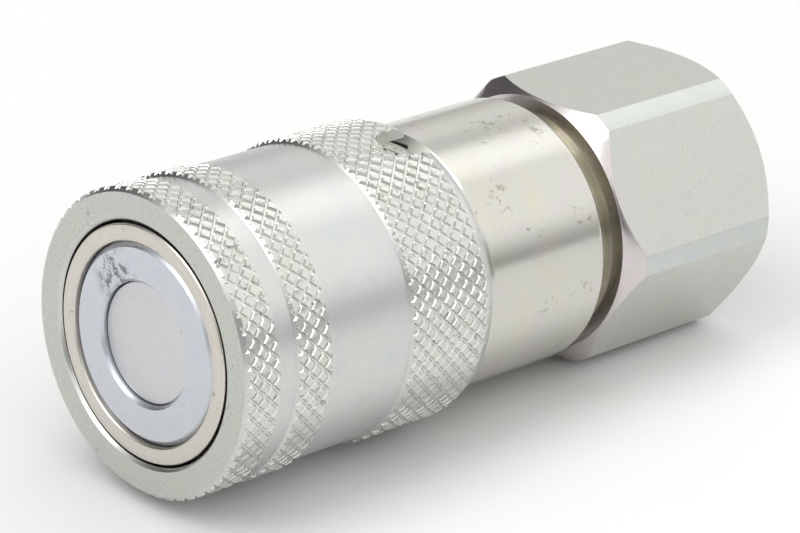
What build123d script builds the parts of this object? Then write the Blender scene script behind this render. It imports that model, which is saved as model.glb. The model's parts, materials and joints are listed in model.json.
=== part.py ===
from build123d import *
import math
import os

# Female half of a flat-face hydraulic quick coupling, body size 10 (3/8 in).
# Millimetres. The axis is X: the plug enters at the front, towards -X, and the hose end
# screws into the rear port, whose mouth is at the origin. +Z is up, with hex flats top
# and bottom.

# ---- driving dimensions -------------------------------------------------------------
LENGTH = 72.6
HEX_ACROSS_FLATS = 27.0
HEX_CORNER_R = 15.0         # corners turned to a cylinder
BODY_R = 13.6
NOSE_R = 11.7
PLUG_BORE_R = 10.0
KNURL_R = 15.2
BAND_R = 14.8               # smooth band of the sleeve
PORT_MINOR_R = 7.475        # G 3/8 female thread, minor diameter 14.95
PORT_DEPTH = 14.0
RUN = 0.08                  # radial running clearance of the sleeve
VALVE_RUN = 0.05            # radial running clearance of the valve sleeve

# ---- stations along the axis --------------------------------------------------------
SLEEVE_FRONT_X = -LENGTH
NOSE_X = SLEEVE_FRONT_X + 0.12
VALVE_FRONT_X = NOSE_X + 0.14
POPPET_FRONT_X = VALVE_FRONT_X + 0.6
SLEEVE_REAR_X = -40.3
SHOULDER_X = -39.45         # where the body steps up to its full diameter
BODY_REAR_X = -23.9
HEX_FRONT_X = -21.4
BALL_X = -64.2
GROOVE_X = (-68.3, -66.3)   # plain groove between the two front knurled bands
BAND_X = (-61.85, -51.8)    # smooth band of the sleeve
REAR_CHAMFER_X = -41.9      # where the rear knurled band starts to round off
LAND_FRONT_X = -61.6        # the sleeve's bearing land
LAND_REAR_X = -58.0
LIP_REAR_X = -69.7
BODY_STEP_X = -53.6         # the nose ends and the spring's seat begins
BODY_GUIDE_X = -48.0        # the body's guide under the sleeve's rear bore
WIPER_X = (-47.25, -46.15)  # groove of the dust wiper
FLANGE_FRONT_X = -53.45     # the valve sleeve's rear flange
VALVE_REAR_X = -51.0
VALVE_THROAT_X = -67.0      # behind it the valve sleeve is bored wide for its spring
VALVE_LAND_X = -68.6
SPIDER_FRONT_X = -32.0
SPIDER_REAR_X = -30.0
BACKING_X = -48.9           # fixed end of the sleeve spring

# ---- smaller sizes ------------------------------------------------------------------
BODY_STEP_R = 12.2          # under the sleeve spring
BODY_GUIDE_R = 12.7         # under the rear of the sleeve
CHAMBER_R = 13.7            # the sleeve's spring chamber and rear bore
RECESS_R = 13.2             # room for the lock balls
LIP_R = 11.98               # the sleeve's front lip
LIP_CHAMFER = 0.33
VALVE_R = PLUG_BORE_R - VALVE_RUN
VALVE_CHAMFER = 0.55
VALVE_SEAT_R = 6.06
VALVE_THROAT_R = 8.4
POPPET_R = 5.98
POPPET_GROOVE_X = (-70.75, -69.65)
POPPET_TAIL_R = 3.4
FLANGE_R = 10.6
REAR_BORE_R = 10.7
LOCK_BALL_R = 1.5
LOCK_BALL_COUNT = 8
SAFETY_BALL_R = 1.25
SAFETY_BALL_X = -37.9
NOTCH_ANGLE = 101.0         # from +Y towards +Z
NOTCH_DEPTH = 5.4
NOTCH_HALF_WIDTH = 2.3
SPIGOT_R = 11.35
SPIGOT_NECK_R = 11.9
SPIGOT_STEP_X = -26.0
PASSAGE_R = 5.6
WINDOW_R = 8.6              # outer radius of the spider's windows and the adapter's mouth
STEM_R = 2.0
STEM_NECK_R = STEM_R - 0.3
STEM_HOLE_R = STEM_NECK_R + 0.03
ADAPTER_SEAL_X = -24.9
NOSE_SEAL_X = -60.95

os.makedirs("parts", exist_ok=True)


def turned(points, rounds=None):
    """Revolve a closed (x, radius) outline about X; rounds gives a point's fillet radius."""
    face = make_face(Polyline([(x, 0, r) for x, r in points], close=True)).face()
    for index, radius in (rounds or {}).items():
        x, r = points[index]
        corner = min(face.vertices(), key=lambda v: (v.X - x) ** 2 + (v.Z - r) ** 2)
        face = face.fillet_2d(radius, [corner])
    return revolve(face, Axis.X, 360)


def ring(x_front, x_rear, inner, outer):
    return turned([(x_front, inner), (x_rear, inner), (x_rear, outer), (x_front, outer)])


def o_ring(x, middle_r, section_r):
    return Location((x, 0, 0)) * Rotation(0, 90, 0) * Torus(middle_r, section_r)


def on_circle(x, radius, degrees):
    angle = math.radians(degrees)
    return (x, radius * math.cos(angle), radius * math.sin(angle))


def radial_cylinder(x, degrees, radius, inner, outer):
    """A cylinder along a radius of the coupling, from inner to outer."""
    body = Cylinder(radius, outer - inner, align=(Align.CENTER, Align.CENTER, Align.MIN))
    return Rotation(degrees - 90, 0, 0) * Location((x, 0, inner)) * body


def spring(x_front, x_rear, middle_r, wire_r, turns):
    """A coil of round wire between two planes, with its ends ground flat."""
    height = x_rear - x_front
    pitch = (height - 2 * wire_r) / turns
    coil = Helix(pitch, pitch * turns, middle_r)
    section = Plane(origin=coil @ 0, z_dir=coil % 0) * Circle(wire_r)
    wire = sweep(section, path=coil, is_frenet=True)
    placed = Location((x_front + wire_r, 0, 0)) * Rotation(0, 90, 0) * wire
    return placed


# ---- hex adapter --------------------------------------------------------------------
def hex_adapter():
    cone = HEX_CORNER_R - HEX_ACROSS_FLATS / 2
    rim = HEX_ACROSS_FLATS / 2 - 0.2
    blank = turned([
        (HEX_FRONT_X, 0), (HEX_FRONT_X, rim), (HEX_FRONT_X + HEX_CORNER_R - rim, HEX_CORNER_R),
        (-cone, HEX_CORNER_R), (0, HEX_CORNER_R - cone), (0, 0),
    ])
    prism = Rotation(0, 90, 0) * extrude(
        RegularPolygon(HEX_ACROSS_FLATS / 2, 6, major_radius=False, rotation=30), LENGTH, both=True
    )
    solid = blank & prism
    solid += turned([
        (SPIDER_REAR_X, 0), (SPIDER_REAR_X, SPIGOT_R - 0.5), (SPIDER_REAR_X + 0.5, SPIGOT_R),
        (SPIGOT_STEP_X, SPIGOT_R), (SPIGOT_STEP_X, SPIGOT_NECK_R),
        (HEX_FRONT_X, SPIGOT_NECK_R), (HEX_FRONT_X + 0.5, 0),
    ])
    solid -= ring(ADAPTER_SEAL_X - 0.9, ADAPTER_SEAL_X + 0.6, SPIGOT_NECK_R - 0.95, SPIGOT_NECK_R + 1)
    solid -= turned([
        (SPIDER_REAR_X - 1, 0), (SPIDER_REAR_X - 1, WINDOW_R), (SPIDER_REAR_X + 2.6, WINDOW_R),
        (-PORT_DEPTH - 3.5, PASSAGE_R), (-PORT_DEPTH, PASSAGE_R), (-PORT_DEPTH, PORT_MINOR_R),
        (1, PORT_MINOR_R), (1, 0),
    ])
    return solid


def socket_body():
    outside = [
        (NOSE_X, PLUG_BORE_R + 0.15), (NOSE_X, NOSE_R - 0.15), (NOSE_X + 0.15, NOSE_R),
        (BODY_STEP_X, NOSE_R), (BODY_STEP_X, BODY_STEP_R),
        (BODY_GUIDE_X, BODY_STEP_R), (BODY_GUIDE_X, BODY_GUIDE_R),
        (SHOULDER_X - (BODY_R - BODY_GUIDE_R), BODY_GUIDE_R), (SHOULDER_X, BODY_R),
        (BODY_REAR_X, BODY_R), (BODY_REAR_X, SPIGOT_NECK_R + 0.05),
    ]
    inside = [
        (SPIGOT_STEP_X - 0.05, SPIGOT_NECK_R + 0.05), (SPIGOT_STEP_X - 0.05, SPIGOT_R + 0.05),
        (SPIDER_FRONT_X, SPIGOT_R + 0.05), (SPIDER_FRONT_X, REAR_BORE_R),
        (FLANGE_FRONT_X - 0.05, REAR_BORE_R), (FLANGE_FRONT_X - 0.05, PLUG_BORE_R),
        (NOSE_X + 0.15, PLUG_BORE_R),
    ]
    solid = turned(outside + inside, {9: 0.85})
    solid -= ring(NOSE_SEAL_X - 0.6, NOSE_SEAL_X + 1.5, PLUG_BORE_R - 0.5, PLUG_BORE_R + 0.95)
    solid -= ring(LAND_FRONT_X - 0.95, LAND_FRONT_X - 0.02, NOSE_R - 0.4, NOSE_R + 1)
    solid -= ring(*WIPER_X, BODY_GUIDE_R - 0.4, BODY_GUIDE_R + 1)
    for n in range(LOCK_BALL_COUNT):
        solid -= radial_cylinder(BALL_X, 360 * n / LOCK_BALL_COUNT, LOCK_BALL_R + 0.06, 9, 12.5)
    solid -= Pos(*on_circle(SAFETY_BALL_X, BODY_R, NOTCH_ANGLE + 180)) * Sphere(SAFETY_BALL_R)
    return solid


def locking_sleeve():
    edge = KNURL_R - BAND_R
    outside = [
        (SLEEVE_FRONT_X, LIP_R + LIP_CHAMFER), (SLEEVE_FRONT_X, KNURL_R - 0.45),
        (SLEEVE_FRONT_X + 0.45, KNURL_R), (GROOVE_X[0] - edge, KNURL_R), (GROOVE_X[0], BAND_R),
        (GROOVE_X[1], BAND_R), (GROOVE_X[1] + edge, KNURL_R), (BAND_X[0] - edge, KNURL_R),
        (BAND_X[0], BAND_R), (BAND_X[1], BAND_R), (BAND_X[1] + edge, KNURL_R),
        (REAR_CHAMFER_X, KNURL_R), (SLEEVE_REAR_X, CHAMBER_R + 0.35), (SLEEVE_REAR_X, CHAMBER_R),
    ]
    inside = [
        (LAND_REAR_X, CHAMBER_R), (LAND_REAR_X, NOSE_R + RUN), (LAND_FRONT_X, NOSE_R + RUN),
        (LAND_FRONT_X, RECESS_R), (LIP_REAR_X + 0.6, RECESS_R), (LIP_REAR_X, LIP_R),
        (SLEEVE_FRONT_X + LIP_CHAMFER, LIP_R),
    ]
    solid = turned(outside + inside, {11: 1.5})
    for degrees in (NOTCH_ANGLE, NOTCH_ANGLE + 180):
        end = SLEEVE_REAR_X - NOTCH_DEPTH + NOTCH_HALF_WIDTH
        solid -= radial_cylinder(end, degrees, NOTCH_HALF_WIDTH, 12, 17)
        slot = Box(6, 2 * NOTCH_HALF_WIDTH, 5, align=(Align.MIN, Align.CENTER, Align.MIN))
        solid -= Rotation(degrees - 90, 0, 0) * Location((end, 0, 12)) * slot
    return solid


def valve_sleeve():
    return turned([
        (VALVE_FRONT_X, VALVE_SEAT_R + 0.3), (VALVE_FRONT_X, VALVE_R - VALVE_CHAMFER),
        (VALVE_FRONT_X + VALVE_CHAMFER, VALVE_R), (FLANGE_FRONT_X, VALVE_R), (FLANGE_FRONT_X, FLANGE_R),
        (VALVE_REAR_X, FLANGE_R), (VALVE_REAR_X, VALVE_THROAT_R), (VALVE_THROAT_X, VALVE_THROAT_R),
        (VALVE_LAND_X, VALVE_SEAT_R), (VALVE_FRONT_X + 0.3, VALVE_SEAT_R),
    ])


def poppet_head():
    groove_front, groove_rear = POPPET_GROOVE_X
    groove_r = POPPET_R - 0.85
    return turned([
        (POPPET_FRONT_X, 0), (POPPET_FRONT_X, POPPET_R - 0.12), (POPPET_FRONT_X + 0.12, POPPET_R),
        (groove_front, POPPET_R), (groove_front, groove_r), (groove_rear, groove_r),
        (groove_rear, POPPET_R), (groove_rear + 0.65, POPPET_R), (-66.8, POPPET_TAIL_R),
        (-63.5, POPPET_TAIL_R), (-63.5, STEM_R - 0.2), (-68.5, STEM_R - 0.2), (-68.5, 0),
    ])


def poppet_stem():
    shoulder = SPIDER_FRONT_X - 0.75
    return turned([
        (-68.45, 0), (-68.45, STEM_R - 0.25), (-63.45, STEM_R - 0.25), (-63.45, STEM_R + 0.4),
        (shoulder, STEM_R + 0.4), (shoulder, STEM_NECK_R),
        (-26.4, STEM_NECK_R), (-26.0, STEM_NECK_R - 0.4), (-26.0, 0),
    ])


def stem_spider():
    """The disc that carries the stem, with three kidney windows for the oil."""
    disc = ring(SPIDER_FRONT_X + 0.02, SPIDER_REAR_X - 0.02, STEM_HOLE_R, SPIGOT_R)
    window = ring(SPIDER_FRONT_X - 1, SPIDER_REAR_X + 1, 3.6, WINDOW_R)
    spokes = Box(20, 1.9, 12, align=(Align.CENTER, Align.CENTER, Align.MIN))
    for n in range(3):
        window -= Rotation(120 * n, 0, 0) * Location((SPIDER_FRONT_X, 0, 0)) * spokes
    return disc - window


def stem_nut():
    nut = Rotation(0, 90, 0) * extrude(RegularPolygon(3.0, 6, major_radius=False), 2.6)
    bore = Rotation(0, 90, 0) * Cylinder(STEM_HOLE_R, 12)
    return Location((SPIDER_REAR_X + 0.42, 0, 0)) * (nut - bore)


def lock_balls():
    reach = VALVE_R + LOCK_BALL_R + 0.03
    spots = [on_circle(BALL_X, reach, 360 * n / LOCK_BALL_COUNT) for n in range(LOCK_BALL_COUNT)]
    return Compound(children=[Pos(*spot) * Sphere(LOCK_BALL_R) for spot in spots])


parts = {
    "hex_adapter": hex_adapter(),
    "socket_body": socket_body(),
    "locking_sleeve": locking_sleeve(),
    "lock_balls": lock_balls(),
    "safety_ball": Pos(*on_circle(SAFETY_BALL_X, BODY_R, NOTCH_ANGLE + 180)) * Sphere(SAFETY_BALL_R),
    "thrust_washer": ring(LAND_REAR_X + 0.02, LAND_REAR_X + 0.7, NOSE_R + RUN, CHAMBER_R - RUN),
    "sleeve_spring": spring(LAND_REAR_X + 0.72, BACKING_X - 0.02, 12.95, 0.5, 3.5),
    "spring_backing_ring": ring(BACKING_X, BODY_GUIDE_X - 0.02, BODY_STEP_R + 0.05, CHAMBER_R - 0.3),
    "sleeve_snap_ring": ring(LAND_FRONT_X - 0.9, LAND_FRONT_X - 0.05, NOSE_R - 0.35, NOSE_R + 0.9),
    "dust_wiper": ring(WIPER_X[0] + 0.05, WIPER_X[1] - 0.05, BODY_GUIDE_R - 0.37, CHAMBER_R - RUN),
    "nose_seal": o_ring(NOSE_SEAL_X, PLUG_BORE_R + 0.46, 0.44),
    "nose_backup_ring": ring(NOSE_SEAL_X + 0.55, NOSE_SEAL_X + 1.4, PLUG_BORE_R + 0.03, PLUG_BORE_R + 0.9),
    "valve_sleeve": valve_sleeve(),
    "valve_spring": spring(VALVE_REAR_X + 0.05, SPIDER_FRONT_X - 0.85, 9.55, 0.55, 4),
    "valve_spring_seat": ring(SPIDER_FRONT_X - 0.8, SPIDER_FRONT_X - 0.02, 8.7, REAR_BORE_R - 0.05),
    "poppet_head": poppet_head(),
    "poppet_seal": o_ring(sum(POPPET_GROOVE_X) / 2, POPPET_R - 0.44, 0.4),
    "poppet_stem": poppet_stem(),
    "stem_washer": ring(SPIDER_FRONT_X - 0.7, SPIDER_FRONT_X, STEM_HOLE_R, 3.4),
    "stem_spider": stem_spider(),
    "stem_lock_washer": ring(SPIDER_REAR_X, SPIDER_REAR_X + 0.4, STEM_HOLE_R, 3.3),
    "stem_nut": stem_nut(),
    "adapter_o_ring": o_ring(ADAPTER_SEAL_X - 0.35, SPIGOT_NECK_R - 0.47, 0.45),
    "adapter_backup_ring": ring(-24.78, -24.32, SPIGOT_NECK_R - 0.92, SPIGOT_NECK_R),
}

for name, shape in parts.items():
    export_step(shape, f"parts/{name}.step")
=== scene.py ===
import json
import math
import random

import bmesh
import bpy
from mathutils import Matrix, Vector


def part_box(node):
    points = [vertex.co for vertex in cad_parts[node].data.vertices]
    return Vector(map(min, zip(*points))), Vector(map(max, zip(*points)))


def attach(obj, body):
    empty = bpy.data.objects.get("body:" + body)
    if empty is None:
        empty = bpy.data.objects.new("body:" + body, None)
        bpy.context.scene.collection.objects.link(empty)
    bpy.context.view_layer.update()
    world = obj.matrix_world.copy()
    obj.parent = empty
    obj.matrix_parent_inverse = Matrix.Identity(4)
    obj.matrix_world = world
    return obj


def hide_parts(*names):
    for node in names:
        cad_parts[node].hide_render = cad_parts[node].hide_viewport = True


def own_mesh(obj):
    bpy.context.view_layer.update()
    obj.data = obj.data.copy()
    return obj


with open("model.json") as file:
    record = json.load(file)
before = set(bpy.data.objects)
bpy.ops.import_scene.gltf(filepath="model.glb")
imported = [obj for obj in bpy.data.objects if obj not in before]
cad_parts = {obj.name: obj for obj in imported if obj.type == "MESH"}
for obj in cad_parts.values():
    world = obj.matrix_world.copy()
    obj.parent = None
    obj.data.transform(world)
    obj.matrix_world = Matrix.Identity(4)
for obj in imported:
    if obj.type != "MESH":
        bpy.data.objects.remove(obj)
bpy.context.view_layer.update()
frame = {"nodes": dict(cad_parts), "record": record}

# Outlines and sizes are in millimetres and are brought to metres when a piece is finished.
# The coupling's axis is X. An outline is a list of (x, radius) points.
MM = 0.001
ROUND_STEPS = 228           # facets around a turned piece
draw = random.Random(7)


def box_mm(node):
    low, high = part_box(node)
    return low / MM, high / MM


SLEEVE_LOW, SLEEVE_HIGH = box_mm("locking_sleeve")
BODY_LOW, BODY_HIGH = box_mm("socket_body")
HEX_HIGH = box_mm("hex_adapter")[1]
KNURL_R = SLEEVE_HIGH.y
SLEEVE_FRONT = SLEEVE_LOW.x
SLEEVE_REAR = SLEEVE_HIGH.x
BODY_R = BODY_HIGH.y
NOSE_X = BODY_LOW.x
BODY_REAR = BODY_HIGH.x
FLAT_R = HEX_HIGH.z         # half the distance across the hexagon's flats
CORNER_R = HEX_HIGH.y
VALVE_FRONT = box_mm("valve_sleeve")[0].x
POPPET_FRONT = box_mm("poppet_head")[0].x


# ---- mesh helpers ---------------------------------------------------------------------
def spun(bm, outline, closed=True, steps=ROUND_STEPS):
    """Turn an outline of x and radius once around X inside bm."""
    points = [bm.verts.new((x, 0, r)) for x, r in outline]
    pairs = list(zip(points, points[1:]))
    if closed:
        pairs.append((points[-1], points[0]))
    lines = [bm.edges.new(pair) for pair in pairs]
    bmesh.ops.spin(
        bm, geom=points + lines, axis=(1, 0, 0), cent=(0, 0, 0), angle=math.tau,
        steps=steps, use_merge=True, use_duplicate=False, dvec=(0, 0, 0),
    )


def soften(bm, width, min_angle=22, segments=2, keep=None):
    """Round every edge that is sharper than min_angle degrees."""
    limit = math.radians(min_angle)
    sharp = [
        e for e in bm.edges
        if len(e.link_faces) == 2 and e.calc_face_angle(0) > limit and (keep is None or keep(e))
    ]
    bmesh.ops.bevel(
        bm, geom=sharp, offset=width, offset_type="OFFSET", segments=segments, profile=0.5,
        affect="EDGES", material=-1, clamp_overlap=True,
    )


def clean(bm):
    """Merge doubled points, drop empty faces and turn every face outward."""
    bmesh.ops.remove_doubles(bm, verts=bm.verts, dist=0.0008)
    bmesh.ops.dissolve_degenerate(bm, edges=bm.edges, dist=0.0004)
    bmesh.ops.recalc_face_normals(bm, faces=bm.faces)
    closed = all(len(e.link_faces) == 2 for e in bm.edges)
    if closed and bm.calc_volume(signed=True) < 0:
        bmesh.ops.reverse_faces(bm, faces=bm.faces)


def finished(bm, name, node, body, materials, smooth_angle=28):
    """Write bm, in millimetres, as a piece of the model that stands for a CAD node."""
    bmesh.ops.scale(bm, vec=(MM, MM, MM), verts=bm.verts)
    mesh = bpy.data.meshes.new(name)
    bm.to_mesh(mesh)
    bm.free()
    mesh.shade_smooth()
    mesh.set_sharp_from_angle(angle=math.radians(smooth_angle))
    for material in materials:
        mesh.materials.append(material)
    piece = bpy.data.objects.new(name, mesh)
    bpy.context.scene.collection.objects.link(piece)
    weighted = piece.modifiers.new("even_normals", "WEIGHTED_NORMAL")
    weighted.keep_sharp = True
    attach(piece, body)
    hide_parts(node)
    return piece


def paint(bm, rules):
    """Give each face the material number of the first rule that its centre and normal meet."""
    for f in bm.faces:
        centre = f.calc_center_median()
        radius = math.hypot(centre.y, centre.z)
        for number, fits in rules:
            if fits(centre.x, radius, f.normal):
                f.material_index = number
                break


def cut_with(piece_bm, cutters):
    """Subtract closed cutter meshes from a closed one. Both are used up."""
    if any(len(e.link_faces) != 2 for e in piece_bm.edges):
        raise RuntimeError("the piece to cut is not closed")
    blank = bpy.data.meshes.new("blank")
    piece_bm.to_mesh(blank)
    piece_bm.free()
    holder = bpy.data.objects.new("blank", blank)
    bpy.context.scene.collection.objects.link(holder)
    tools = []
    for n, cutter in enumerate(cutters):
        mesh = bpy.data.meshes.new(f"cutter_{n}")
        cutter.to_mesh(mesh)
        cutter.free()
        tool = bpy.data.objects.new(f"cutter_{n}", mesh)
        bpy.context.scene.collection.objects.link(tool)
        cut = holder.modifiers.new(f"cut_{n}", "BOOLEAN")
        cut.operation = "DIFFERENCE"
        cut.solver = "MANIFOLD"
        cut.object = tool
        tools.append(tool)
    graph = bpy.context.evaluated_depsgraph_get()
    graph.update()
    result = bpy.data.meshes.new_from_object(holder.evaluated_get(graph))
    out = bmesh.new()
    out.from_mesh(result)
    for thing in tools + [holder]:
        bpy.data.objects.remove(thing)
    bpy.data.meshes.remove(result)
    return out


def rod(radius, start, end, turn, x, reach=0.0, steps=48):
    """A closed radial cutter at x, from start to end; reach stretches it to a slot towards +X."""
    bm = bmesh.new()
    bmesh.ops.create_circle(bm, segments=steps, radius=radius, cap_ends=True)
    side = bmesh.ops.extrude_face_region(bm, geom=bm.faces[:])
    bmesh.ops.translate(
        bm, vec=(0, 0, end - start),
        verts=[g for g in side["geom"] if isinstance(g, bmesh.types.BMVert)],
    )
    bmesh.ops.translate(bm, vec=(reach, 0, 0), verts=[v for v in bm.verts if v.co.x > 0.001])
    bmesh.ops.translate(bm, vec=(x, 0, start), verts=bm.verts)
    about_x = Matrix.Rotation(math.radians(turn - 90), 3, "X")
    bmesh.ops.rotate(bm, cent=(0, 0, 0), matrix=about_x, verts=bm.verts)
    bmesh.ops.recalc_face_normals(bm, faces=bm.faces)
    return bm


def loop_edges(bm, x, low_r, high_r, reach=0.06):
    """The open boundary edges that ring the axis near x, between two radii."""
    found = []
    for e in bm.edges:
        if len(e.link_faces) != 1:
            continue
        near = all(
            abs(v.co.x - x) < reach and low_r < math.hypot(v.co.y, v.co.z) < high_r for v in e.verts
        )
        if near:
            found.append(e)
    return found


def add_mesh(bm, other):
    """Move the contents of other into bm."""
    mesh = bpy.data.meshes.new("part")
    other.to_mesh(mesh)
    other.free()
    bm.from_mesh(mesh)
    bpy.data.meshes.remove(mesh)


# ---- locking sleeve -------------------------------------------------------------------
KNURLS_AROUND = 57
KNURL_DEPTH = 0.25
GROOVE_HALF = 0.07          # half the flat bottom of a groove
GROOVE_SLOPE = 0.16
FLOOR_R = KNURL_R - KNURL_DEPTH
BAND_R = KNURL_R - 0.4      # the smooth bands are turned deeper than the knurl
CHAMBER_R = 13.7            # around the spring
LAND_FRONT = -61.6          # the inner rib that slides on the nose
LAND_REAR = -58.0
LAND_R = 11.78
RECESS_R = 13.2             # over the lock balls
LIP_REAR = -69.7
LIP_R = 11.98
LIP_CHAMFER = 0.33
FRONT_CHAMFER = 0.45
CHAMFER_FOOT = BAND_R - FLOOR_R
INNER_CHAMFER = 50          # degrees, on the knurled bands' edges beside a smooth band
NOTCH_ANGLE = 101.0         # degrees from +Y towards +Z
NOTCH_HALF = 2.3
NOTCH_DEPTH = 5.4
LONGEST_ISLAND = 60         # edges round a cut-off diamond at most; the rim has more
REAR_KNURL_END = -41.55     # where the sleeve's last cone starts
REAR_CONE = 42              # degrees
REAR_DROP = 0.55            # how far below the smooth bands that cone ends


def sorted_cuts(edges):
    """The edges of the open cut across the sheet, and the closed loops round cut-off diamonds."""
    left = set(edges)
    rim, islands = [], []
    while left:
        chain, spread = [], [left.pop()]
        while spread:
            edge = spread.pop()
            chain.append(edge)
            joined = [e for v in edge.verts for e in v.link_edges if e in left]
            left.difference_update(joined)
            spread += joined
        uses = [v for e in chain for v in e.verts]
        if all(uses.count(v) == 2 for v in set(uses)) and len(chain) < LONGEST_ISLAND:
            islands.append(chain)
        else:
            rim += chain
    return rim, islands


def chamfer_sheet(bm, crest_x, degrees, foot_z, towards):
    """Cut the flat knurled sheet along a sloping plane and close the cut down to foot_z."""
    slope = math.tan(math.radians(degrees))
    cut = bmesh.ops.bisect_plane(
        bm, geom=bm.verts[:] + bm.edges[:] + bm.faces[:], dist=1e-5,
        plane_co=(crest_x, 0, KNURL_DEPTH), plane_no=(towards * slope, 0, 1), clear_outer=True,
    )
    rim, islands = sorted_cuts([g for g in cut["geom_cut"] if isinstance(g, bmesh.types.BMEdge)])
    for island in islands:
        for f in bmesh.ops.edgeloop_fill(bm, edges=island)["faces"]:
            f.material_index = 2
    skirt = bmesh.ops.extrude_edge_only(bm, edges=rim)
    foot_x = crest_x + towards * (KNURL_DEPTH - foot_z) / slope
    for g in skirt["geom"]:
        if isinstance(g, bmesh.types.BMVert):
            g.co.x, g.co.z = foot_x, foot_z
        elif isinstance(g, bmesh.types.BMFace):
            g.material_index = 2


def dish_tops(bm, width):
    """Hollow every whole diamond a little and roughen its rim, as a rolled knurl is."""
    whole = [
        f for f in bm.faces
        if len(f.verts) == 4 and f.calc_area() > 0.98 * width ** 2
        and min(v.co.z for v in f.verts) > KNURL_DEPTH - 1e-4
    ]
    rims = list(dict.fromkeys(v for f in whole for v in f.verts))
    bmesh.ops.inset_individual(bm, faces=whole, thickness=0.12, depth=-0.045, use_even_offset=True)
    for v in rims:
        if all(f.material_index == 1 for f in v.link_faces):
            v.co += Vector((draw.uniform(-1, 1), draw.uniform(-1, 1), draw.uniform(-2, 0))) * 0.022
    for f in whole:
        lean = draw.uniform(-0.03, 0.03)
        for n, v in enumerate(f.verts):
            v.co.z += lean if n < 2 else -lean


def knurled_band(front_cuts, rear_cuts):
    """A ring of diamond knurling; each cut is (x at the crest, degrees, foot height)."""
    pitch = math.tau * KNURL_R / KNURLS_AROUND
    cell = pitch / math.sqrt(2)
    around = math.tau * KNURL_R
    middle = (front_cuts[0][0] + rear_cuts[0][0]) / 2
    half_width = (rear_cuts[0][0] - front_cuts[0][0]) / 2 + 2 * pitch
    count = int((around / 2 + half_width) * math.sqrt(2) / cell) + 2
    bm = bmesh.new()
    bmesh.ops.create_grid(bm, x_segments=count, y_segments=count, size=count * cell / 2)
    turned = Matrix.Rotation(math.radians(45), 3, "Z")
    bmesh.ops.rotate(bm, cent=(0, 0, 0), matrix=turned, verts=bm.verts)
    spare = []
    for f in bm.faces:
        centre = f.calc_center_median()
        if not (-around / 2 - 0.01 <= centre.y < around / 2 - 0.01) or abs(centre.x) > half_width:
            spare.append(f)
    bmesh.ops.delete(bm, geom=spare, context="FACES")
    diamonds = bm.faces[:]
    bmesh.ops.inset_individual(bm, faces=diamonds, thickness=GROOVE_HALF, use_even_offset=True)
    bmesh.ops.inset_individual(
        bm, faces=diamonds, thickness=GROOVE_SLOPE, depth=KNURL_DEPTH, use_even_offset=True
    )
    bmesh.ops.translate(bm, vec=(middle, 0, 0), verts=bm.verts)
    for f in bm.faces:
        f.material_index = 1
    for crest_x, degrees, foot_z in front_cuts:
        chamfer_sheet(bm, crest_x, degrees, foot_z, -1)
    for crest_x, degrees, foot_z in rear_cuts:
        chamfer_sheet(bm, crest_x, degrees, foot_z, 1)
    dish_tops(bm, cell - 2 * (GROOVE_HALF + GROOVE_SLOPE))
    for v in bm.verts:
        turn, radius = -v.co.y / KNURL_R, FLOOR_R + v.co.z
        v.co.y, v.co.z = radius * math.cos(turn), radius * math.sin(turn)
    bmesh.ops.remove_doubles(bm, verts=bm.verts, dist=0.002)
    bmesh.ops.dissolve_degenerate(bm, edges=bm.edges, dist=0.001)
    return bm


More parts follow.
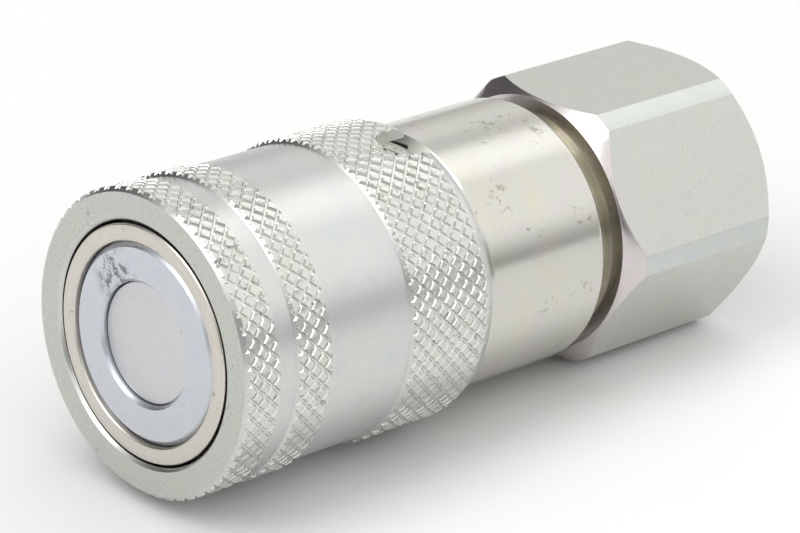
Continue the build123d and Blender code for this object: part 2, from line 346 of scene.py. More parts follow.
def locking_sleeve(face, knurl, band):
    """Smooth turned surfaces joined to three knurled bands, then notched twice at the rear."""
    rim = KNURL_R - FRONT_CHAMFER
    bands = [
        (
            [(SLEEVE_FRONT + FRONT_CHAMFER, 45, rim - FLOOR_R)],
            [(-68.636, INNER_CHAMFER, CHAMFER_FOOT)],
        ),
        (
            [(-65.964, INNER_CHAMFER, CHAMFER_FOOT)],
            [(-62.186, INNER_CHAMFER, CHAMFER_FOOT)],
        ),
        (
            [(-51.464, INNER_CHAMFER, CHAMFER_FOOT)],
            [(-42.4, 20, CHAMFER_FOOT - 0.6), (REAR_KNURL_END, REAR_CONE, CHAMFER_FOOT - REAR_DROP)],
        ),
    ]
    bm = bmesh.new()
    spun(bm, [(-68.28, BAND_R), (-66.32, BAND_R)], closed=False)
    spun(bm, [(-61.83, BAND_R), (-51.82, BAND_R)], closed=False)
    rear_foot = REAR_KNURL_END + (KNURL_R - BAND_R + REAR_DROP) / math.tan(math.radians(REAR_CONE))
    spun(bm, [
        (rear_foot + 0.02, BAND_R - 0.57), (SLEEVE_REAR, CHAMBER_R + 0.35), (SLEEVE_REAR, CHAMBER_R),
        (LAND_REAR, CHAMBER_R), (LAND_REAR, LAND_R), (LAND_FRONT, LAND_R), (LAND_FRONT, RECESS_R),
        (-69.1, RECESS_R), (LIP_REAR, LIP_R), (SLEEVE_FRONT + LIP_CHAMFER, LIP_R),
        (SLEEVE_FRONT, LIP_R + LIP_CHAMFER), (SLEEVE_FRONT, rim - 0.05),
    ], closed=False)
    clean(bm)
    soften(bm, 0.04)
    for front_cuts, rear_cuts in bands:
        add_mesh(bm, knurled_band(front_cuts, rear_cuts))
    # Where a smooth surface meets a knurled band: x and the radii on either side.
    joins = [
        (SLEEVE_FRONT, rim - 0.2, rim + 0.2), (-68.3, 14.6, 15.0), (-66.3, 14.6, 15.0),
        (-61.85, 14.6, 15.0), (-51.8, 14.6, 15.0), (rear_foot, 14.0, 14.5),
    ]
    for x, low_r, high_r in joins:
        bmesh.ops.bridge_loops(bm, edges=loop_edges(bm, x, low_r, high_r))
    clean(bm)
    end = SLEEVE_REAR - NOTCH_DEPTH + NOTCH_HALF
    turns = (NOTCH_ANGLE, NOTCH_ANGLE + 180)
    bm = cut_with(bm, [rod(NOTCH_HALF, 12.0, 17.0, turn, end, reach=6.0) for turn in turns])
    # The knurl is number 1 already; the rest is the flat front face or a smooth surface.
    for f in bm.faces:
        if f.material_index != 1:
            on_face = f.normal.x < -0.9 and f.calc_center_median().x < SLEEVE_FRONT + 0.05
            f.material_index = 0 if on_face else 2
    materials = [face, knurl, band]
    return finished(bm, "knurled_sleeve", "locking_sleeve", "sleeve", materials)


# ---- body, adapter and valve ------------------------------------------------------------
NOSE_R = 11.7
BORE_R = 10.0
NECK_R = 11.95
REAR_ROUND = 0.85
STEP_X = -53.6              # the nose ends and the spring's seat begins
STEP_R = 12.2
GUIDE_X = -48.0             # the guide under the sleeve's rear, behind the backing ring
GUIDE_R = 12.7
WIPER_FRONT = -47.25
WIPER_REAR = -46.15
SHOULDER_X = -39.45
SPIGOT_BORE_R = 11.4        # the hole that the adapter screws into
REAR_BORE_R = 10.7
BALLS = 8
BALLS_X = -64.2
BALL_HOLE_R = 1.56


def socket_body(nickel, barrel):
    """The nose, the barrel behind the sleeve and the bore, with a hole for each lock ball."""
    bm = bmesh.new()
    round_x, round_r = BODY_REAR - REAR_ROUND, BODY_R - REAR_ROUND
    turns = [math.radians(degrees) for degrees in range(0, 91, 15)]
    rounded = [(round_x + REAR_ROUND * math.sin(a), round_r + REAR_ROUND * math.cos(a)) for a in turns]
    spun(bm, [
        (NOSE_X, BORE_R + 0.15), (NOSE_X, NOSE_R - 0.15), (NOSE_X + 0.15, NOSE_R), (-62.55, NOSE_R),
        (-62.55, 11.3), (-61.62, 11.3), (-61.62, NOSE_R), (STEP_X, NOSE_R), (STEP_X, STEP_R),
        (GUIDE_X, STEP_R), (GUIDE_X, GUIDE_R), (WIPER_FRONT, GUIDE_R), (WIPER_FRONT, 12.3),
        (WIPER_REAR, 12.3), (WIPER_REAR, GUIDE_R), (-40.35, GUIDE_R), (SHOULDER_X, BODY_R), *rounded,
        (BODY_REAR, NECK_R), (-26.05, NECK_R), (-26.05, SPIGOT_BORE_R),
        (-32.0, SPIGOT_BORE_R), (-32.0, REAR_BORE_R), (-53.5, REAR_BORE_R), (-53.5, BORE_R),
        (-59.45, BORE_R), (-59.45, 10.95), (-61.55, 10.95), (-61.55, BORE_R), (NOSE_X + 0.15, BORE_R),
    ])
    clean(bm)
    soften(bm, 0.03)
    holes = [rod(BALL_HOLE_R, 9.0, 12.5, 360 * n / BALLS, BALLS_X) for n in range(BALLS)]
    bm = cut_with(bm, holes)
    paint(bm, [(1, lambda x, radius, normal: x > -49 and radius > 12), (0, lambda *_: True)])
    return finished(bm, "turned_body", "socket_body", "socket", [nickel, barrel])


PORT_MINOR_R = 7.475
PORT_MAJOR_R = 8.331
THREAD_PITCH = 1.337
THREAD_REAR = -0.95
THREAD_FRONT = -12.6
HEX_FRONT = -21.4
ADAPTER_NECK_R = 11.9
ADAPTER_SPIGOT_R = 11.35
MOUTH_R = 8.6               # the adapter's mouth, behind the spider's windows
PASSAGE_R = 5.6


def port_thread():
    """An internal thread as one helical surface, cut off square at both ends."""
    steps = 96
    turns = int((THREAD_REAR - THREAD_FRONT) / THREAD_PITCH) + 3
    start = THREAD_FRONT - THREAD_PITCH
    middle = start + THREAD_PITCH / 2
    crest = 0.14 * THREAD_PITCH
    root_r = PORT_MAJOR_R - 0.06
    bm = bmesh.new()
    outline = [
        (start, PORT_MINOR_R), (start + crest, PORT_MINOR_R), (middle, root_r),
        (middle + crest, root_r), (start + THREAD_PITCH, PORT_MINOR_R),
    ]
    points = [bm.verts.new((x, 0, r)) for x, r in outline]
    lines = [bm.edges.new(pair) for pair in zip(points, points[1:])]
    bmesh.ops.spin(
        bm, geom=points + lines, axis=(1, 0, 0), cent=(0, 0, 0), angle=math.tau * turns,
        steps=steps * turns, dvec=(THREAD_PITCH / steps, 0, 0), use_duplicate=False,
    )
    bmesh.ops.remove_doubles(bm, verts=bm.verts, dist=0.002)
    for x, side in ((THREAD_REAR, 1), (THREAD_FRONT, -1)):
        bmesh.ops.bisect_plane(
            bm, geom=bm.verts[:] + bm.edges[:] + bm.faces[:], dist=1e-5,
            plane_co=(x, 0, 0), plane_no=(side, 0, 0), clear_outer=True,
        )
    return bm


def hex_adapter(flats, cones, neck, bore, lands):
    """A turned blank with six flats cut on it, around a threaded port."""
    rim = FLAT_R - 0.2
    rear_rim = rim + 0.08
    bm = bmesh.new()
    spun(bm, [
        (THREAD_REAR + 0.03, PORT_MAJOR_R + 0.04), (0, PORT_MAJOR_R + 0.9), (0, rear_rim),
        (rear_rim - CORNER_R, CORNER_R), (HEX_FRONT + CORNER_R - rim, CORNER_R), (HEX_FRONT, rim),
        (HEX_FRONT, ADAPTER_NECK_R), (-24.3, ADAPTER_NECK_R), (-24.3, 10.95), (-25.8, 10.95),
        (-25.8, ADAPTER_NECK_R), (-26.0, ADAPTER_NECK_R), (-26.0, ADAPTER_SPIGOT_R),
        (-29.5, ADAPTER_SPIGOT_R), (-30.0, 10.85), (-30.0, MOUTH_R), (-27.4, MOUTH_R),
        (-17.5, PASSAGE_R), (-14.0, PASSAGE_R),
        (-14.0, PORT_MAJOR_R + 0.04), (THREAD_FRONT - 0.03, PORT_MAJOR_R + 0.04),
    ], closed=False, steps=360)
    bmesh.ops.remove_doubles(bm, verts=bm.verts, dist=0.0008)
    for n in range(6):
        turn = math.radians(30 + 60 * n)
        outward = Vector((0, math.cos(turn), math.sin(turn)))
        cut = bmesh.ops.bisect_plane(
            bm, geom=bm.verts[:] + bm.edges[:] + bm.faces[:], dist=1e-5,
            plane_co=outward * FLAT_R, plane_no=outward, clear_outer=True,
        )
        rim_edges = [g for g in cut["geom_cut"] if isinstance(g, bmesh.types.BMEdge)]
        bmesh.ops.edgeloop_fill(bm, edges=rim_edges)
    bmesh.ops.recalc_face_normals(bm, faces=bm.faces)
    soften(bm, 0.06)
    add_mesh(bm, port_thread())
    for x in (THREAD_REAR, THREAD_FRONT):
        bmesh.ops.bridge_loops(bm, edges=loop_edges(bm, x, 7.0, 8.6))
    clean(bm)
    paint(bm, [
        (2, lambda x, radius, normal: HEX_FRONT - 0.02 > x > -26.2 and radius > 11),
        (4, lambda x, radius, normal: radius > CORNER_R - 0.02 and abs(normal.x) < 0.3),
        (3, lambda x, radius, normal: radius < 11.5),
        (1, lambda x, radius, normal: abs(normal.x) > 0.3 and x < HEX_FRONT + 2),
        (0, lambda *_: True),
    ])
    materials = [flats, cones, neck, bore, lands]
    return finished(bm, "threaded_adapter", "hex_adapter", "socket", materials)


VALVE_R = 9.95
VALVE_THROAT_R = 8.4
FLANGE_R = 10.6
VALVE_CHAMFER = 0.55
SEAT_R = 6.06
POPPET_R = 5.98
POPPET_TAIL_R = 3.4
STEM_HOLE_R = 1.8


def valve_sleeve(material):
    """The ring that a plug pushes in; its rear flange stops it and takes its spring."""
    bm = bmesh.new()
    spun(bm, [
        (VALVE_FRONT, SEAT_R + 0.3), (VALVE_FRONT, VALVE_R - VALVE_CHAMFER),
        (VALVE_FRONT + VALVE_CHAMFER, VALVE_R), (-53.45, VALVE_R), (-53.45, FLANGE_R),
        (-51.0, FLANGE_R), (-51.0, VALVE_THROAT_R), (-67.0, VALVE_THROAT_R), (-68.6, SEAT_R),
        (VALVE_FRONT + 0.3, SEAT_R),
    ])
    clean(bm)
    soften(bm, 0.03)
    return finished(bm, "flat_valve_sleeve", "valve_sleeve", "valve", [material])


def poppet_head(material):
    """The fixed disc in the middle, with a seal groove and a blind hole for the stem."""
    groove_r = POPPET_R - 0.85
    bm = bmesh.new()
    spun(bm, [
        (POPPET_FRONT, 0), (POPPET_FRONT, POPPET_R - 0.12), (POPPET_FRONT + 0.12, POPPET_R),
        (-70.75, POPPET_R), (-70.75, groove_r), (-69.65, groove_r), (-69.65, POPPET_R),
        (-69.0, POPPET_R), (-66.8, POPPET_TAIL_R), (-63.5, POPPET_TAIL_R),
        (-63.5, STEM_HOLE_R), (-68.5, STEM_HOLE_R), (-68.5, 0),
    ], closed=False)
    clean(bm)
    soften(bm, 0.03)
    return finished(bm, "flat_poppet", "poppet_head", "socket", [material])


# ---- springs and the pieces inside --------------------------------------------------------
def coil_spring(name, node, middle_r, wire_r, turns, material):
    """A helical spring of round wire that fills its CAD node's length."""
    low, high = box_mm(node)
    steps = 40
    count = int(steps * turns)
    bm = bmesh.new()
    bmesh.ops.create_circle(bm, segments=14, radius=wire_r, cap_ends=True)
    turned = Matrix.Rotation(math.radians(90), 3, "X")
    bmesh.ops.rotate(bm, cent=(0, 0, 0), matrix=turned, verts=bm.verts)
    bmesh.ops.translate(bm, vec=(low.x + wire_r, 0, middle_r), verts=bm.verts)
    length = high.x - low.x - 2 * wire_r
    bmesh.ops.spin(
        bm, geom=bm.faces[:], axis=(1, 0, 0), cent=(0, 0, 0), angle=math.tau * turns,
        steps=count, dvec=(length / count, 0, 0), use_duplicate=False,
    )
    clean(bm)
    return finished(bm, name, node, "socket", [material], smooth_angle=50)


def smoothed(name, node, body, material):
    """A merged and smooth-shaded copy of a CAD node."""
    bm = bmesh.new()
    bm.from_mesh(frame["nodes"][node].data)
    bmesh.ops.scale(bm, vec=(1 / MM, 1 / MM, 1 / MM), verts=bm.verts)
    bmesh.ops.remove_doubles(bm, verts=bm.verts, dist=0.001)
    bmesh.ops.dissolve_degenerate(bm, edges=bm.edges, dist=0.0005)
    return finished(bm, name, node, body, [material])


# ---- shader groups --------------------------------------------------------------------------
def add(tree, kind, sockets=None, **settings):
    """Add a shader node; a socket's value is a number, a colour or another node's output."""
    node = tree.nodes.new(kind)
    for name, value in settings.items():
        setattr(node, name, value)
    for name, value in (sockets or {}).items():
        if isinstance(value, bpy.types.NodeSocket):
            tree.links.new(value, node.inputs[name])
        else:
            node.inputs[name].default_value = value
    return node


def maths(tree, operation, first, second=0.0, clamp=False):
    sockets = {0: first} if operation in ("SQRT", "ABSOLUTE") else {0: first, 1: second}
    return add(tree, "ShaderNodeMath", sockets, operation=operation, use_clamp=clamp).outputs[0]


def ranged(tree, value, low, high, start=0.0, end=1.0):
    return add(
        tree, "ShaderNodeMapRange",
        {"Value": value, "From Min": low, "From Max": high, "To Min": start, "To Max": end},
        interpolation_type="SMOOTHSTEP",
    ).outputs["Result"]


def mixed(tree, factor, first, second, blend="MIX"):
    node = add(tree, "ShaderNodeMix", {"Factor": factor}, data_type="RGBA", blend_type=blend)
    for socket, value in (("A", first), ("B", second)):
        place = next(i for i in node.inputs if i.name == socket and i.type == "RGBA")
        if isinstance(value, bpy.types.NodeSocket):
            tree.links.new(value, place)
        else:
            place.default_value = value
    return next(o for o in node.outputs if o.type == "RGBA")


def new_group(name, inputs, outputs):
    tree = bpy.data.node_groups.new(name, "ShaderNodeTree")
    for label, kind, value in inputs:
        socket = tree.interface.new_socket(name=label, in_out="INPUT", socket_type=kind)
        if value is not None:
            socket.default_value = value
    for label, kind in outputs:
        tree.interface.new_socket(name=label, in_out="OUTPUT", socket_type=kind)
    return tree, tree.nodes.new("NodeGroupInput").outputs, tree.nodes.new("NodeGroupOutput").inputs


FLOAT, VECTOR, COLOUR = "NodeSocketFloat", "NodeSocketVector", "NodeSocketColor"


def millimetres(tree, vector):
    scaled = add(tree, "ShaderNodeVectorMath", {0: vector, "Scale": 1 / MM}, operation="SCALE")
    return scaled.outputs["Vector"]


def ring_marks_group():
    """Rings left by a lathe tool, on cylinders and on faces, at some lines per millimetre."""
    tree, given, out = new_group(
        "ring_marks",
        [("Vector", VECTOR, None), ("Lines per mm", FLOAT, 6.0), ("Fading", FLOAT, 0.5)],
        [("Height", FLOAT)],
    )
    place = millimetres(tree, given["Vector"])
    split = add(tree, "ShaderNodeSeparateXYZ", {0: place}).outputs
    squares = [maths(tree, "MULTIPLY", split[n], split[n]) for n in (1, 2)]
    radius = maths(tree, "SQRT", maths(tree, "ADD", *squares))
    along = maths(tree, "ADD", split[0], maths(tree, "MULTIPLY", radius, 1.37))
    drift = add(tree, "ShaderNodeTexNoise", {"Vector": place, "Scale": 0.16, "Detail": 2.0})
    along = maths(tree, "ADD", along, maths(tree, "MULTIPLY", drift.outputs["Fac"], 0.12))
    rate = maths(tree, "MULTIPLY", along, given["Lines per mm"])
    lines = add(
        tree, "ShaderNodeTexNoise", {"W": rate, "Scale": 1.0, "Detail": 3.0, "Roughness": 0.6},
        noise_dimensions="1D",
    ).outputs["Fac"]
    worn = add(tree, "ShaderNodeTexNoise", {"Vector": place, "Scale": 0.35, "Detail": 4.0})
    fade = maths(tree, "MULTIPLY", ranged(tree, worn.outputs["Fac"], 0.35, 0.7), given["Fading"])
    kept = maths(tree, "SUBTRACT", 1.0, fade)
    centred = maths(tree, "SUBTRACT", lines, 0.5)
    height = maths(tree, "ADD", maths(tree, "MULTIPLY", centred, kept), 0.5)
    tree.links.new(height, out["Height"])
    return tree


def grain_group():
    """Fine even grain with a few brighter specks."""
    tree, given, out = new_group(
        "fine_grain", [("Vector", VECTOR, None), ("Size mm", FLOAT, 0.15)],
        [("Height", FLOAT), ("Specks", FLOAT)],
    )
    place = millimetres(tree, given["Vector"])
    scale = maths(tree, "DIVIDE", 1.0, given["Size mm"])
    fine = add(
        tree, "ShaderNodeTexNoise", {"Vector": place, "Scale": scale, "Detail": 3.0, "Roughness": 0.65}
    )
    coarse = maths(tree, "MULTIPLY", scale, 0.55)
    cells = add(tree, "ShaderNodeTexVoronoi", {"Vector": place, "Scale": coarse})
    specks = ranged(tree, cells.outputs["Distance"], 0.32, 0.12)
    tree.links.new(fine.outputs["Fac"], out["Height"])
    tree.links.new(specks, out["Specks"])
    return tree


def plating_group():
    """The uneven colour of zinc plating: a base with patches of two faint tints."""
    tree, given, out = new_group(
        "plating",
        [
            ("Vector", VECTOR, None), ("Base", COLOUR, (0.7, 0.7, 0.7, 1)),
            ("First Tint", COLOUR, (0.7, 0.7, 0.6, 1)), ("Second Tint", COLOUR, (0.7, 0.65, 0.68, 1)),
            ("Amount", FLOAT, 0.5), ("Patch mm", FLOAT, 5.0),
        ],
        [("Color", COLOUR), ("Cloud", FLOAT)],
    )
    place = millimetres(tree, given["Vector"])
    scale = maths(tree, "DIVIDE", 1.0, given["Patch mm"])
    broad = add(
        tree, "ShaderNodeTexNoise",
        {"Vector": place, "Scale": scale, "Detail": 4.0, "Roughness": 0.55, "Distortion": 0.4},
    )
    second = add(
        tree, "ShaderNodeTexNoise",
        {
            "Vector": place, "Scale": maths(tree, "MULTIPLY", scale, 1.7), "Detail": 5.0,
            "Roughness": 0.6,
        },
    )
    colour = given["Base"]
    tints = ((broad, 0.45, 0.68, "First Tint"), (second, 0.52, 0.72, "Second Tint"))
    for noise, low, high, tint in tints:
        patches = ranged(tree, noise.outputs["Fac"], low, high)
        colour = mixed(tree, maths(tree, "MULTIPLY", patches, given["Amount"]), colour, given[tint])
    tree.links.new(colour, out["Color"])
    tree.links.new(second.outputs["Fac"], out["Cloud"])
    return tree


def scuffs_group():
    """Sparse small marks and short scratches, as a mask."""
    tree, given, out = new_group(
        "scuffs",
        [
            ("Vector", VECTOR, None), ("Size mm", FLOAT, 0.5), ("Share", FLOAT, 0.1),
            ("Place mm", VECTOR, None), ("Reach mm", FLOAT, 100.0),
        ],
        [("Mask", FLOAT)],
    )
    place = millimetres(tree, given["Vector"])
    scale = maths(tree, "DIVIDE", 1.0, given["Size mm"])
    warp = add(
        tree, "ShaderNodeTexNoise", {"Vector": place, "Scale": scale, "Detail": 5.0, "Roughness": 0.7}
    )
    broad = maths(tree, "MULTIPLY", scale, 0.22)
    wide = add(tree, "ShaderNodeTexNoise", {"Vector": place, "Scale": broad})
    both = maths(tree, "MULTIPLY", warp.outputs["Fac"], wide.outputs["Fac"])
    level = maths(tree, "SUBTRACT", 0.45, maths(tree, "MULTIPLY", given["Share"], 0.3))
    above = maths(tree, "SUBTRACT", both, level)
    marks = ranged(tree, above, -0.02, 0.05)
    away = add(tree, "ShaderNodeVectorMath", {0: place, 1: given["Place mm"]}, operation="DISTANCE")
    near = ranged(tree, maths(tree, "DIVIDE", away.outputs["Value"], given["Reach mm"]), 1.0, 0.45)
    tree.links.new(maths(tree, "MULTIPLY", marks, near), out["Mask"])
    return tree


def edge_wear_group():
    """Where an edge has rubbed bright: the surface's own normal against a rounded one."""
    tree, given, out = new_group(
        "edge_wear", [("Vector", VECTOR, None), ("Amount", FLOAT, 0.6)], [("Mask", FLOAT)]
    )
    rounded = add(tree, "ShaderNodeBevel", {"Radius": 0.12 * MM}, samples=4).outputs["Normal"]
    own = add(tree, "ShaderNodeNewGeometry").outputs["Normal"]
    turned = add(tree, "ShaderNodeVectorMath", {0: rounded, 1: own}, operation="DOT_PRODUCT")
    edge = ranged(tree, turned.outputs["Value"], 0.995, 0.93)
    place = millimetres(tree, given["Vector"])
    chips = add(tree, "ShaderNodeTexNoise", {"Vector": place, "Scale": 2.5, "Detail": 4.0})
    share = maths(tree, "MULTIPLY", ranged(tree, chips.outputs["Fac"], 0.35, 0.6), given["Amount"])
    tree.links.new(maths(tree, "MULTIPLY", edge, share), out["Mask"])
    return tree


RING_MARKS = ring_marks_group()
GRAIN = grain_group()
PLATING = plating_group()
SCUFFS = scuffs_group()
EDGE_WEAR = edge_wear_group()


def placed(tree, group, sockets):
    node = tree.nodes.new("ShaderNodeGroup")
    node.node_tree = group
    for name, value in sockets.items():
        if isinstance(value, bpy.types.NodeSocket):
            tree.links.new(value, node.inputs[name])
        else:
            node.inputs[name].default_value = value
    return node.outputs


# ---- materials ------------------------------------------------------------------------------
def rgba(red, green, blue):
    return (red, green, blue, 1)


def metal(
    name, base, first_tint, second_tint, tint=0.5, patch=5.0, roughness=0.3, rough_spread=0.1,
    rings=6.0, ring_depth=0.3, ring_shade=0.1, grain=0.15, grain_depth=0.3, grain_shade=0.08,
    specks=0.0, marks=0.0, mark_size=0.5, mark_place=(0, 0, 0), mark_reach=200.0,
    mark_colour=(0.12, 0.12, 0.12), wear=0.4,
):
    """Plated or bare metal. The depths are in hundredths of a millimetre of bump."""
    material = bpy.data.materials.new(name)
    material.use_nodes = True
    tree = material.node_tree
    shader = tree.nodes["Principled BSDF"]
    place = add(tree, "ShaderNodeTexCoord").outputs["Object"]
    plating = placed(tree, PLATING, {
        "Vector": place, "Base": rgba(*base), "First Tint": rgba(*first_tint),
        "Second Tint": rgba(*second_tint), "Amount": tint, "Patch mm": patch,
    })
    lines = placed(tree, RING_MARKS, {"Vector": place, "Lines per mm": rings, "Fading": 0.5})["Height"]
    grains = placed(tree, GRAIN, {"Vector": place, "Size mm": grain})
    scuffed = placed(tree, SCUFFS, {
        "Vector": place, "Size mm": mark_size, "Share": marks,
        "Place mm": mark_place, "Reach mm": mark_reach,
    })["Mask"]
    edges = placed(tree, EDGE_WEAR, {"Vector": place, "Amount": wear})["Mask"]

    shade = maths(tree, "MULTIPLY", maths(tree, "SUBTRACT", lines, 0.5), ring_shade * 2)
    fine = maths(tree, "MULTIPLY", maths(tree, "SUBTRACT", grains["Height"], 0.5), grain_shade * 2)
    light = maths(tree, "MULTIPLY", grains["Specks"], specks)
    level = maths(tree, "ADD", maths(tree, "ADD", maths(tree, "ADD", shade, fine), light), 1.0)
    grey = add(tree, "ShaderNodeCombineColor", {0: level, 1: level, 2: level}).outputs["Color"]
    colour = mixed(tree, 1.0, plating["Color"], grey, "MULTIPLY")
    colour = mixed(tree, maths(tree, "MULTIPLY", edges, 0.6), colour, rgba(0.9, 0.9, 0.88))
    if marks:
        colour = mixed(tree, maths(tree, "MULTIPLY", scuffed, 0.75), colour, rgba(*mark_colour))
    tree.links.new(colour, shader.inputs["Base Color"])

    cloud = maths(tree, "MULTIPLY", maths(tree, "SUBTRACT", plating["Cloud"], 0.5), rough_spread * 2)
    rough = maths(tree, "ADD", cloud, roughness)
    rough = maths(tree, "ADD", rough, maths(tree, "MULTIPLY", scuffed, 0.2))
    rough = maths(tree, "SUBTRACT", rough, maths(tree, "MULTIPLY", edges, 0.1), clamp=True)
    tree.links.new(rough, shader.inputs["Roughness"])
    shader.inputs["Metallic"].default_value = 1.0

    ring_relief = maths(tree, "MULTIPLY", lines, ring_depth)
    relief = maths(tree, "ADD", ring_relief, maths(tree, "MULTIPLY", grains["Height"], grain_depth))
    relief = maths(tree, "SUBTRACT", relief, maths(tree, "MULTIPLY", scuffed, grain_depth))
    bump = add(tree, "ShaderNodeBump", {"Height": relief, "Distance": 0.01 * MM, "Strength": 1.0})
    tree.links.new(bump.outputs["Normal"], shader.inputs["Normal"])
    return material


def dull(name, colour, roughness, grain, spread=0.15):
    """Rubber or plastic with a fine moulded skin."""
    material = bpy.data.materials.new(name)
    material.use_nodes = True
    tree = material.node_tree
    shader = tree.nodes["Principled BSDF"]
    place = add(tree, "ShaderNodeTexCoord").outputs["Object"]
    grains = placed(tree, GRAIN, {"Vector": place, "Size mm": grain})
    darker = rgba(*(channel * (1 - spread) for channel in colour))
    tree.links.new(mixed(tree, grains["Height"], darker, rgba(*colour)), shader.inputs["Base Color"])
    rough = ranged(tree, grains["Height"], 0.3, 0.7, roughness - 0.08, roughness + 0.08)
    tree.links.new(rough, shader.inputs["Roughness"])
    bump = add(
        tree, "ShaderNodeBump", {"Height": grains["Height"], "Distance": 0.005 * MM, "Strength": 1.0}
    )
    tree.links.new(bump.outputs["Normal"], shader.inputs["Normal"])
    return material


OLIVE = (0.581, 0.589, 0.465)
PINK = (0.614, 0.548, 0.573)
BLUE = (0.515, 0.564, 0.631)


def sleeve_face_zinc():
    return metal(
        "sleeve_face_zinc", (0.56, 0.567, 0.537), OLIVE, BLUE,
        tint=0.25, patch=3.0, roughness=0.42, rings=3.0, ring_depth=0.1, ring_shade=0.05, grain=0.3,
        grain_depth=0.7, grain_shade=0.26, marks=0.2, mark_size=0.5, mark_colour=(0.36, 0.36, 0.34),
    )


def knurl_zinc():
    return metal(
        "knurl_zinc", (0.635, 0.635, 0.608), (0.635, 0.625, 0.555), PINK,
        tint=0.3, patch=2.0, roughness=0.2, rings=9.0, ring_depth=0.4, ring_shade=0.05, grain=0.16,
        grain_depth=1.1, grain_shade=0.2, marks=0.3, mark_size=0.22, mark_colour=(0.18, 0.18, 0.17),
        wear=0.9,
    )


def band_zinc():
    return metal(
        "band_zinc", (0.622, 0.629, 0.615), (0.622, 0.629, 0.57), BLUE,
        tint=0.3, patch=6.0, roughness=0.3, rings=8.0, ring_depth=0.35, ring_shade=0.07, grain=0.12,
        grain_depth=0.5, grain_shade=0.17, wear=0.8,
    )


def barrel_zinc():
    return metal(
        "barrel_zinc", (0.608, 0.6, 0.56), (0.63, 0.62, 0.485), PINK,
        tint=0.6, patch=5.0, roughness=0.17, rough_spread=0.06, rings=7.0, ring_depth=0.16,
        ring_shade=0.06, grain=0.14, grain_depth=0.18, grain_shade=0.05, marks=0.27, mark_size=0.8,
        mark_colour=(0.33, 0.32, 0.29),
    )


def nose_nickel():
    return metal(
        "nose_nickel", (0.639, 0.606, 0.556), (0.664, 0.614, 0.531), (0.598, 0.581, 0.564),
        tint=0.5, patch=3.0, roughness=0.3, rings=4.0, ring_depth=1.2, ring_shade=0.22, grain=0.2,
        grain_depth=0.2, grain_shade=0.08, marks=0.14, mark_size=0.3,
    )


def flat_zinc():
    return metal(
        "flat_zinc", (0.615, 0.615, 0.583), (0.62, 0.62, 0.54), (0.603, 0.628, 0.62),
        tint=0.35, patch=5.0, roughness=0.4, rings=2.0, ring_depth=0.0, ring_shade=0.0, grain=0.24,
        grain_depth=0.5, grain_shade=0.15, specks=0.06, marks=0.08, mark_size=0.8,
        mark_colour=(0.45, 0.45, 0.43),
    )


def land_zinc():
    return metal(
        "land_zinc", (0.573, 0.594, 0.573), (0.573, 0.594, 0.531), BLUE,
        tint=0.4, patch=4.0, roughness=0.34, rings=5.0, ring_depth=0.3, ring_shade=0.08, grain=0.2,
        grain_depth=0.4, grain_shade=0.12,
    )


def cone_zinc():
    return metal(
        "cone_zinc", (0.647, 0.598, 0.598), PINK, (0.581, 0.598, 0.548),
        tint=0.6, patch=2.5, roughness=0.22, rings=6.0, ring_depth=0.4, ring_shade=0.08, grain=0.2,
        grain_depth=0.3, grain_shade=0.05,
    )


def neck_zinc():
    return metal(
        "neck_zinc", (0.335, 0.33, 0.235), (0.41, 0.395, 0.24), (0.35, 0.28, 0.265),
        tint=0.8, patch=1.6, roughness=0.2, rings=4.0, ring_depth=0.9, ring_shade=0.3, grain=0.2,
        grain_depth=0.3, grain_shade=0.1,
    )


def bore_steel():
    return metal(
        "bore_steel", (0.432, 0.432, 0.398), OLIVE, (0.349, 0.332, 0.315),
        tint=0.5, patch=2.0, roughness=0.3, rings=5.0, ring_depth=0.6, ring_shade=0.12, grain=0.2,
        grain_depth=0.3, grain_shade=0.08,
    )


def valve_blue_zinc():
    return metal(
        "valve_blue_zinc", (0.598, 0.627, 0.672), (0.631, 0.647, 0.664), (0.564, 0.598, 0.664),
        tint=0.4, patch=2.5, roughness=0.36, rings=6.0, ring_depth=0.12, ring_shade=0.03, grain=0.2,
        grain_depth=0.5, grain_shade=0.16, marks=0.62, mark_size=0.16,
        mark_place=(VALVE_FRONT, 4.3, 5.6), mark_reach=3.6, mark_colour=(0.10, 0.11, 0.12),
    )


def poppet_matte_zinc():
    return metal(
        "poppet_matte_zinc", (0.648, 0.648, 0.665), (0.665, 0.658, 0.63), (0.62, 0.637, 0.67),
        tint=0.4, patch=2.0, roughness=0.45, rings=5.0, ring_depth=0.1, ring_shade=0.03, grain=0.17,
        grain_depth=0.7, grain_shade=0.2, marks=0.1, mark_size=0.3, mark_colour=(0.35, 0.35, 0.34),
    )


def polished_steel():
    return metal(
        "polished_steel", (0.664, 0.672, 0.689), (0.664, 0.656, 0.631), (0.631, 0.647, 0.681),
        tint=0.2, patch=1.0, roughness=0.1, rough_spread=0.03, ring_depth=0.0, ring_shade=0.0,
        grain=0.3, grain_depth=0.05, grain_shade=0.02,
    )


def turned_steel():
    return metal(
        "turned_steel", (0.498, 0.498, 0.486), (0.515, 0.498, 0.448), (0.457, 0.457, 0.465),
        tint=0.5, patch=2.0, roughness=0.3, rings=6.0, ring_depth=0.5, ring_shade=0.1, grain=0.2,
        grain_depth=0.3, grain_shade=0.08,
    )


def oiled_spring_steel():
    return metal(
        "oiled_spring_steel", (0.282, 0.282, 0.286), (0.315, 0.29, 0.249), (0.249, 0.266, 0.299),
        tint=0.6, patch=2.5, roughness=0.32, ring_depth=0.0, ring_shade=0.0, grain=0.15,
        grain_depth=0.4, grain_shade=0.15,
    )


# ---- camera, floor and light ------------------------------------------------------------
CAMERA_PLACE = Vector((-0.30331, -0.26559, 0.16246))
CAMERA_AIM = Vector((-0.03600, 0.00324, -0.00237))
CAMERA_ROLL = 3.964
CAMERA_LENS = 186.2
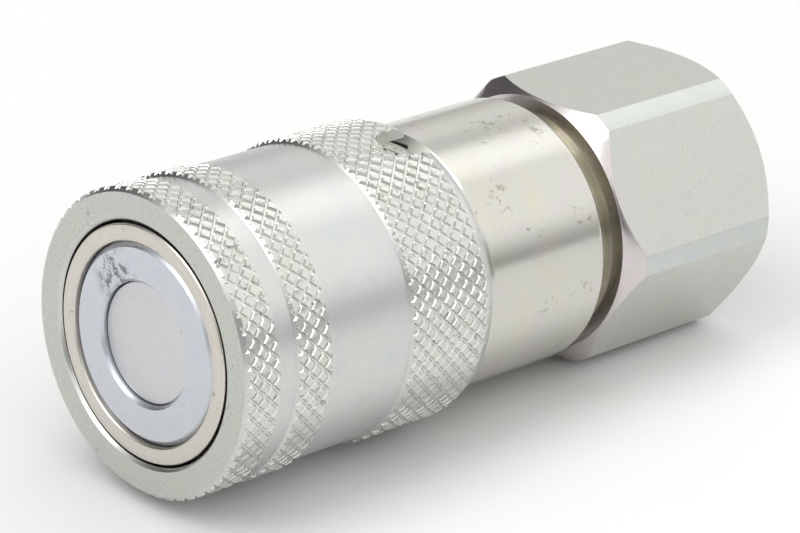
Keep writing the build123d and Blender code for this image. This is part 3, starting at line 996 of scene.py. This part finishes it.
# Brightness of the room by the angle about X, in degrees from +Y through the zenith to -Y.
BRIGHTEST = 1.6
STRIPS = [
    (-12, 0.60), (4, 0.52), (14, 0.72), (30, 0.98), (42, 0.98), (52, 0.80), (61, 0.84), (70, 1.45),
    (82, 1.6), (93, 1.5), (101, 1.16), (114, 1.2), (146, 1.22), (156, 1.06), (165, 0.74), (172, 0.48),
    (181, 0.48), (192, 0.7),
]
# Dark parts of the room: direction, cosines where full and where gone, brightness.
DARK_ENDS = [
    ((-0.15, 0.93, 0.28), 0.93, 0.72, 0.12),
    ((-0.76, -0.62, 0.19), 0.985, 0.955, 0.15),
]


def camera():
    data = bpy.data.cameras.new("camera")
    data.sensor_width = 36
    data.lens = CAMERA_LENS
    data.clip_start = 0.01
    data.clip_end = 30
    eye = bpy.data.objects.new("camera", data)
    bpy.context.scene.collection.objects.link(eye)
    aim = (CAMERA_AIM - CAMERA_PLACE).to_track_quat("-Z", "Y").to_matrix().to_4x4()
    roll = Matrix.Rotation(math.radians(CAMERA_ROLL), 4, "Z")
    eye.matrix_world = Matrix.Translation(CAMERA_PLACE) @ aim @ roll
    bpy.context.scene.camera = eye


def floor():
    """A pale floor that the sleeve and the hexagon both rest on."""
    rear_crest = -41.9
    tilt = math.atan2(KNURL_R - FLAT_R, HEX_HIGH.x - rear_crest)
    bm = bmesh.new()
    bmesh.ops.create_grid(bm, x_segments=4, y_segments=4, size=6000)
    bmesh.ops.rotate(bm, cent=(0, 0, 0), matrix=Matrix.Rotation(-tilt, 3, "Y"), verts=bm.verts)
    bmesh.ops.translate(bm, vec=(rear_crest, 0, -KNURL_R - 0.02), verts=bm.verts)
    bmesh.ops.scale(bm, vec=(MM, MM, MM), verts=bm.verts)
    mesh = bpy.data.meshes.new("floor")
    bm.to_mesh(mesh)
    bm.free()
    plane = bpy.data.objects.new("floor", mesh)
    bpy.context.scene.collection.objects.link(plane)
    pale = bpy.data.materials.new("pale_floor")
    pale.use_nodes = True
    shader = pale.node_tree.nodes["Principled BSDF"]
    shader.inputs["Base Color"].default_value = (0.82, 0.82, 0.82, 1)
    shader.inputs["Roughness"].default_value = 0.8
    mesh.materials.append(pale)


def soft_light(name, place, size, power):
    data = bpy.data.lights.new(name, "AREA")
    data.shape = "RECTANGLE"
    data.size, data.size_y = size
    data.energy = power
    lamp = bpy.data.objects.new(name, data)
    bpy.context.scene.collection.objects.link(lamp)
    lamp.matrix_world = Matrix.Translation(place) @ (
        (Vector((-0.036, 0, 0)) - Vector(place)).to_track_quat("-Z", "Y").to_matrix().to_4x4()
    )


def lights():
    """Soft studio light: a room of long strips, dark towards two ends, and one soft box."""
    bpy.context.scene.view_settings.view_transform = "Standard"
    world = bpy.data.worlds.new("studio")
    bpy.context.scene.world = world
    world.use_nodes = True
    tree = world.node_tree
    sky = tree.nodes["Background"]
    way = add(tree, "ShaderNodeTexCoord").outputs["Generated"]
    split = add(tree, "ShaderNodeSeparateXYZ", {0: way}).outputs
    around = maths(tree, "ARCTAN2", maths(tree, "MULTIPLY", split[1], -1.0), split[2])
    start, end = STRIPS[0][0], STRIPS[-1][0]
    past_start = maths(tree, "ADD", around, math.radians(90 - start))
    ramp_place = maths(tree, "DIVIDE", past_start, math.radians(end - start))
    ramp = add(tree, "ShaderNodeValToRGB", {"Fac": ramp_place})
    stops = ramp.color_ramp.elements
    for n, (angle, brightness) in enumerate(STRIPS):
        place = (angle - start) / (end - start)
        stop = stops[n] if n < 2 else stops.new(place)
        stop.position = place
        stop.color = rgba(*[brightness / BRIGHTEST] * 3)
    level = maths(tree, "MULTIPLY", ramp.outputs["Color"], BRIGHTEST)
    for towards, near, far, brightness in DARK_ENDS:
        unit = Vector(towards).normalized()
        facing = add(tree, "ShaderNodeVectorMath", {0: way, 1: unit}, operation="DOT_PRODUCT")
        share = ranged(tree, facing.outputs["Value"], far, near)
        kept = maths(tree, "MULTIPLY", level, maths(tree, "SUBTRACT", 1.0, share))
        level = maths(tree, "ADD", kept, maths(tree, "MULTIPLY", share, brightness))
    tree.links.new(level, sky.inputs["Strength"])
    sky.inputs["Color"].default_value = (1.0, 1.0, 0.99, 1)
    soft_light("front_box", (-0.75, 0.05, 0.85), (0.55, 0.7), 2.6)


# ---- the whole coupler ----------------------------------------------------------------------
locking_sleeve(sleeve_face_zinc(), knurl_zinc(), band_zinc())
socket_body(nose_nickel(), barrel_zinc())
hex_adapter(flat_zinc(), cone_zinc(), neck_zinc(), bore_steel(), land_zinc())
valve_sleeve(valve_blue_zinc())
poppet_head(poppet_matte_zinc())

finishes = {
    "bearing_steel": polished_steel(),
    "plain_steel": turned_steel(),
    "spring_steel": oiled_spring_steel(),
    "nitrile": dull("nitrile_rubber", (0.022, 0.022, 0.024), 0.55, 0.25),
    "ptfe": dull("white_ptfe", (0.80, 0.80, 0.77), 0.42, 0.35, spread=0.06),
}
outer_spring = coil_spring("outer_coil", "sleeve_spring", 12.95, 0.5, 3.5, finishes["spring_steel"])
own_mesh(outer_spring)
inner_spring = coil_spring("inner_coil", "valve_spring", 9.55, 0.55, 4, finishes["spring_steel"])
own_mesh(inner_spring)

MODELLED = {
    "locking_sleeve", "socket_body", "hex_adapter", "valve_sleeve", "poppet_head", "sleeve_spring",
    "valve_spring",
}
record = frame["record"]
node_body = {node: body for body, nodes in record["behaviour"]["bodies"].items() for node in nodes}
for part in record["subparts"]:
    node, slot = part["node"], part["material_slot"]
    if node not in MODELLED:
        smoothed(f"{node}_smooth", node, node_body[node], finishes[slot])

camera()
floor()
lights()
